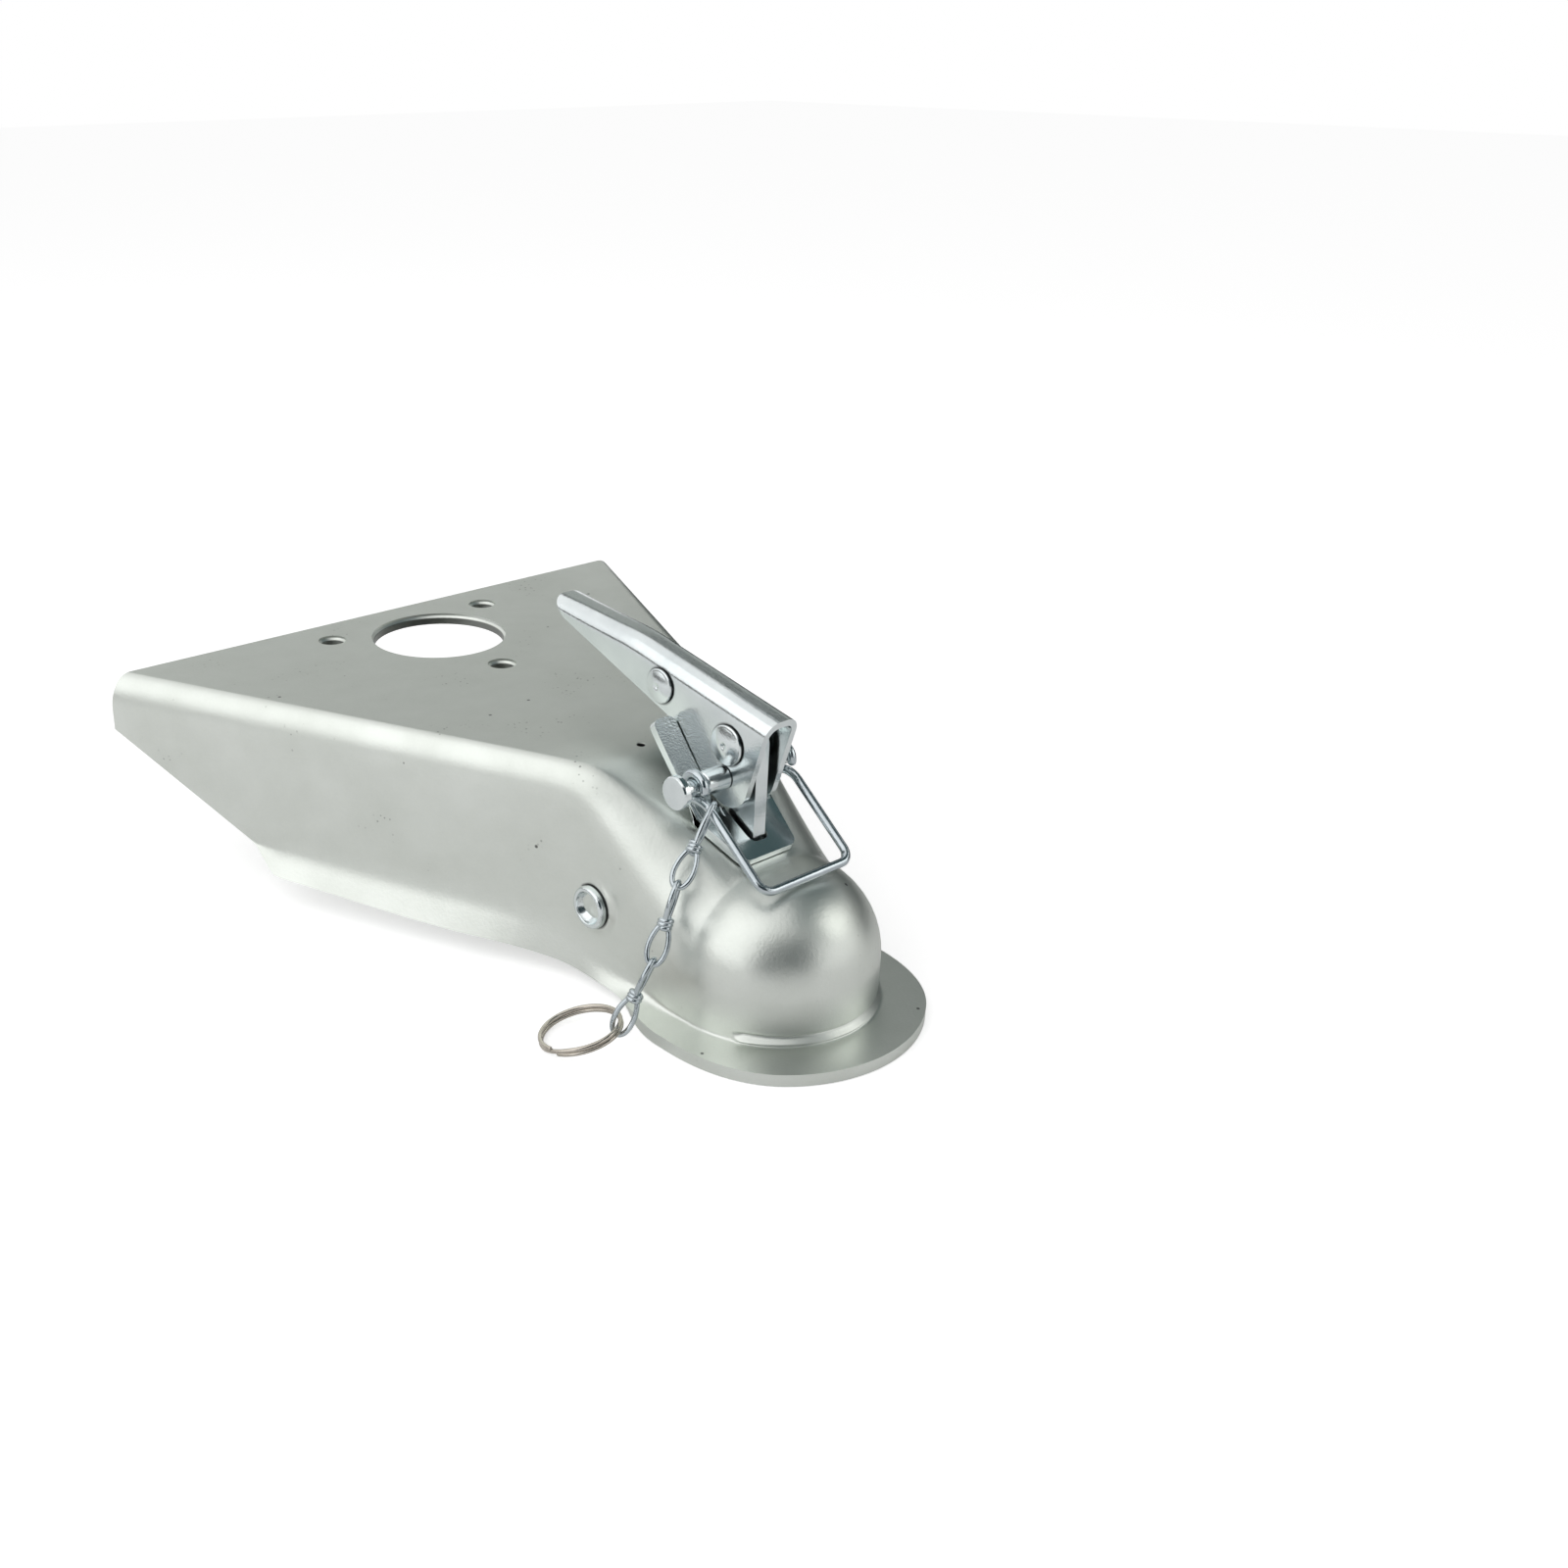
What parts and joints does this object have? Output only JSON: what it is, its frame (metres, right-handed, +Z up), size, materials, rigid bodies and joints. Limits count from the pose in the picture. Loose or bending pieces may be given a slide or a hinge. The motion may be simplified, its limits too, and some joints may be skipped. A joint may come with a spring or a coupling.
{
  "type": "trailer coupling head",
  "caption": "A-frame trailer coupling head: stamped housing over a tow ball, folded lever latch with ball clamp, lock pin on a wire bail, and a chain with a split ring.",
  "frame": {"origin": "centre of the tow ball", "axes": "+Z up, -Y ahead of the trailer, X across, the housing the same on both sides"},
  "size_m": [0.277, 0.316, 0.1305],
  "materials": {
    "housing_zinc": "satin zinc plate",
    "latch_zinc": "bright zinc plate",
    "ring_nickel": "polished nickel plate"
  },
  "bodies": {
    "frame": {"housing": "housing_zinc", "saddle": "latch_zinc", "cross_rivet": "latch_zinc", "left_spacer": "latch_zinc", "right_spacer": "latch_zinc"},
    "link": {"draw_link": "latch_zinc"},
    "handle": {"lever": "latch_zinc", "lever_rivet": "latch_zinc", "grip_rivet": "latch_zinc"},
    "clamp": {"ball_clamp": "latch_zinc", "link_pin": "latch_zinc"},
    "pin": {"lock_pin": "latch_zinc"},
    "bail": {"lock_bail": "latch_zinc"},
    "chain_a": {"chain_link_1": "latch_zinc"},
    "chain_b": {"chain_link_2": "latch_zinc"},
    "chain_c": {"chain_link_3": "latch_zinc"},
    "ring": {"split_ring": "ring_nickel"}
  },
  "joints": [
    {"name": "link_draw", "type": "slide", "parent": "frame", "child": "link", "axis": [0, 0, 1], "range_m": [-0.00401, 0]},
    {"name": "lever_lift", "type": "hinge", "parent": "link", "child": "handle", "pos_m": [0, 0.0186, 0.078], "axis": [1, 0, 0], "range_deg": [0, 75]},
    {"name": "clamp_swing", "type": "hinge", "parent": "frame", "child": "clamp", "pos_m": [0, 0.049, 0.012], "axis": [1, 0, 0], "range_deg": [0, 7.6]},
    {"name": "pin_turn", "type": "hinge", "parent": "handle", "child": "pin", "pos_m": [0, 0.0201, 0.065], "axis": [1, 0, 0], "range_deg": [-75, 0]},
    {"name": "bail_swing", "type": "hinge", "parent": "pin", "child": "bail", "pos_m": [0, 0.0201, 0.065], "axis": [-1, 0, 0], "range_deg": [0, 60]},
    {"name": "chain_swing_1", "type": "hinge", "parent": "bail", "child": "chain_a", "pos_m": [-0.0222, 0.01139, 0.05829], "axis": [0, 0.7922, 0.6102], "range_deg": [0, 35]},
    {"name": "chain_swing_2", "type": "hinge", "parent": "chain_a", "child": "chain_b", "pos_m": [-0.0418, 0.00722, 0.03603], "axis": [-0.4467, 0.8642, 0.2316], "range_deg": [0, 35]},
    {"name": "chain_swing_3", "type": "hinge", "parent": "chain_b", "child": "chain_c", "pos_m": [-0.05418, 0.00552, 0.00982], "axis": [-0.4768, 0.862, 0.1718], "range_deg": [0, 35]},
    {"name": "ring_swing", "type": "hinge", "parent": "chain_c", "child": "ring", "pos_m": [-0.06735, 0.00922, -0.01577], "axis": [-0.4059, 0.8538, 0.326], "range_deg": [0, 60]}
  ],
  "couplings": [
    {"joint": "link_draw", "follows": "lever_lift", "m_per_rad": -0.003056},
    {"joint": "clamp_swing", "follows": "lever_lift", "ratio": 0.1005},
    {"joint": "pin_turn", "follows": "lever_lift", "ratio": -1}
  ]
}
